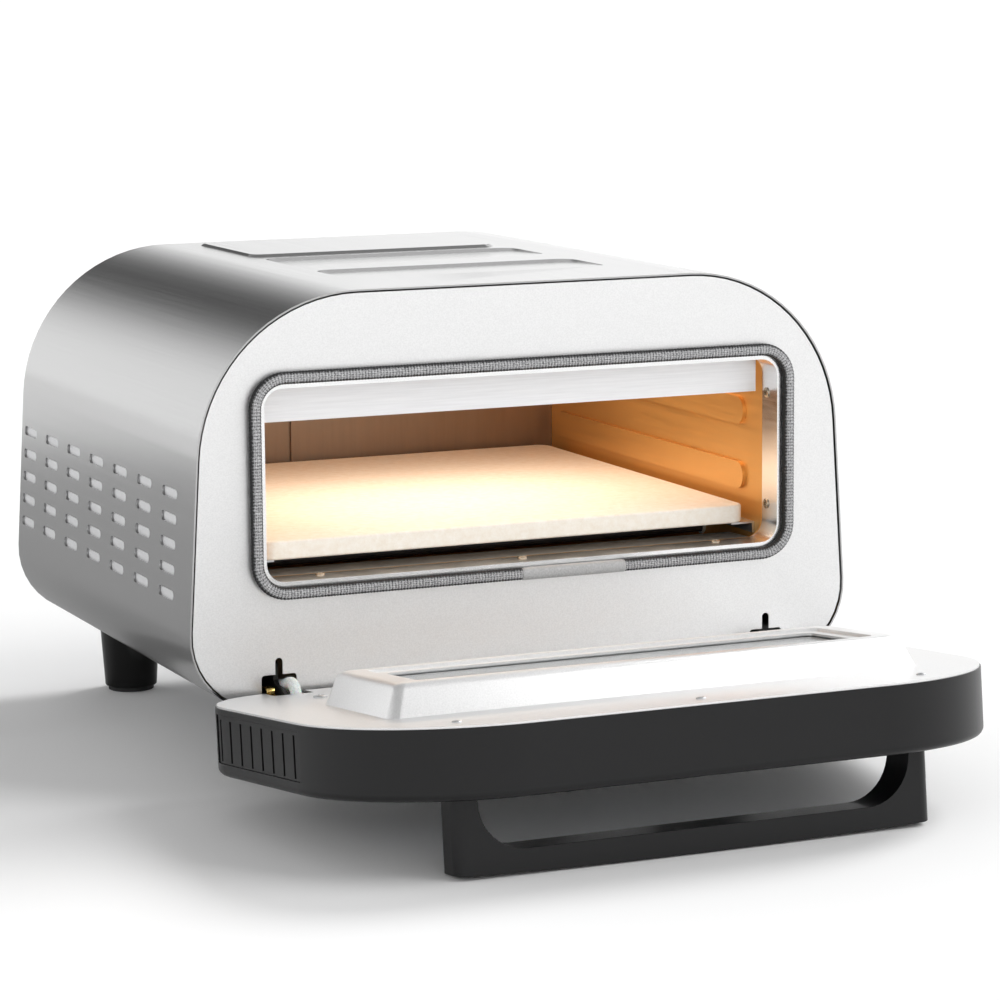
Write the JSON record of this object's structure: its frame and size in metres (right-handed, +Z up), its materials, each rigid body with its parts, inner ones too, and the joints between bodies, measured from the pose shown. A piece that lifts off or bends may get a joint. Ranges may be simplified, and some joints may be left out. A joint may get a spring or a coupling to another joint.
{
  "type": "countertop pizza oven",
  "caption": "Countertop pizza oven with rounded steel cabinet, drop-down glazed door with U handle, door seal, rod heaters, sliding baking stone, control knobs and tall round feet.",
  "frame": {"origin": "on the ground plane, under the centre of the whole object's box with the door resting open", "axes": "+X to the right seen from the front, +Y to the rear, +Z up"},
  "size_m": [0.4704, 0.6716, 0.3245],
  "materials": {
    "brushed_wrap": "brushed stainless steel",
    "blasted_steel": "fine bead-blasted stainless steel",
    "zinc_steel": "dull zinc-plated sheet and screws",
    "pale_sheet": "bright pressed sheet",
    "black_plastic": "fine matte black plastic",
    "foot_plastic": "glossy black plastic",
    "pad_rubber": "matte rubber",
    "seal_braid": "black and white glass-fibre braid",
    "heated_steel": "heat-tinted steel",
    "heater_sheath": "dark oxidised heater sheath",
    "ceramic_white": "plain unglazed ceramic",
    "blanket": "ceramic-fibre blanket",
    "stone": "cream cordierite baking stone",
    "board_green": "circuit board",
    "black_steel": "black oxide steel",
    "brass": "turned brass",
    "glass_inner": "clear heat-proof glass",
    "glass_outer": "dark tinted heat-proof glass",
    "lens_amber": "amber lens",
    "knob_plastic": "matte black plastic",
    "button_metal": "satin aluminium"
  },
  "bodies": {
    "oven_body": {"outer_shell": "brushed_wrap", "base_plate": "zinc_steel", "front_panel": "blasted_steel", "rear_panel": "zinc_steel", "rear_screws": "zinc_steel", "rear_spacer_left": "black_plastic", "rear_spacer_right": "black_plastic", "vent_baffle_left": "pale_sheet", "vent_baffle_right": "pale_sheet", "foot_front_left": "foot_plastic", "foot_front_right": "foot_plastic", "foot_rear_left": "foot_plastic", "foot_rear_right": "foot_plastic", "foot_pad_front_left": "pad_rubber", "foot_pad_front_right": "pad_rubber", "foot_pad_rear_left": "pad_rubber", "foot_pad_rear_right": "pad_rubber", "foot_screws": "zinc_steel", "throat_frame": "pale_sheet", "throat_screws": "zinc_steel", "door_seal": "seal_braid", "seal_sleeve": "pale_sheet", "cavity_liner": "heated_steel", "cavity_back_panel": "heated_steel", "throat_sill": "pale_sheet", "heat_baffle": "pale_sheet", "heater_upper_front": "heater_sheath", "heater_upper_rear": "heater_sheath", "heater_lower_front": "heater_sheath", "heater_lower_rear": "heater_sheath", "heater_supports": "ceramic_white", "insulation_blanket": "blanket", "stone_rail_left": "zinc_steel", "stone_rail_right": "zinc_steel", "temperature_probe": "ceramic_white", "power_board": "board_green", "terminal_block": "ceramic_white", "cord_gland": "black_plastic", "hinge_bracket_left": "black_steel", "hinge_bracket_right": "black_steel", "harness_body_half": "seal_braid"},
    "stone": {"pizza_stone": "stone"},
    "door": {"door_cover": "black_plastic", "door_inner_panel": "blasted_steel", "door_screws": "zinc_steel", "inner_glass": "glass_inner", "glass_clips": "zinc_steel", "outer_glass": "glass_outer", "vent_grille_left": "black_plastic", "vent_grille_right": "black_plastic", "handle": "black_plastic", "fascia_plate": "blasted_steel", "hinge_pins": "brass", "hinge_carriers": "black_steel", "harness_door_half": "seal_braid", "door_controls": "board_green", "indicator_lenses": "lens_amber"},
    "temperature_knob": {"temperature_knob": "knob_plastic"},
    "timer_knob": {"timer_knob": "knob_plastic"},
    "start_button": {"start_button": "button_metal"}
  },
  "joints": [
    {"name": "door_hinge", "type": "hinge", "parent": "oven_body", "child": "door", "pos_m": [0, -0.07438, 0.0637], "axis": [-1, 0, 0], "range_deg": [0, 83.8]},
    {"name": "stone_slide", "type": "slide", "parent": "oven_body", "child": "stone", "axis": [0, 1, 0], "range_m": [-0.3, 0]},
    {"name": "temperature_knob_turn", "type": "hinge", "parent": "door", "child": "temperature_knob", "pos_m": [-0.078, -0.10884, 0.02711], "axis": [0, -0.108, -0.9942], "range_deg": [-270, 0]},
    {"name": "timer_knob_turn", "type": "hinge", "parent": "door", "child": "timer_knob", "pos_m": [0.078, -0.10884, 0.02711], "axis": [0, -0.108, -0.9942], "range_deg": [-300, 0]},
    {"name": "start_button_press", "type": "slide", "parent": "door", "child": "start_button", "axis": [0, 0.108, 0.9942], "range_m": [0, 0.002], "stiffness_N_per_m": 400, "springref_m": -0.003}
  ]
}
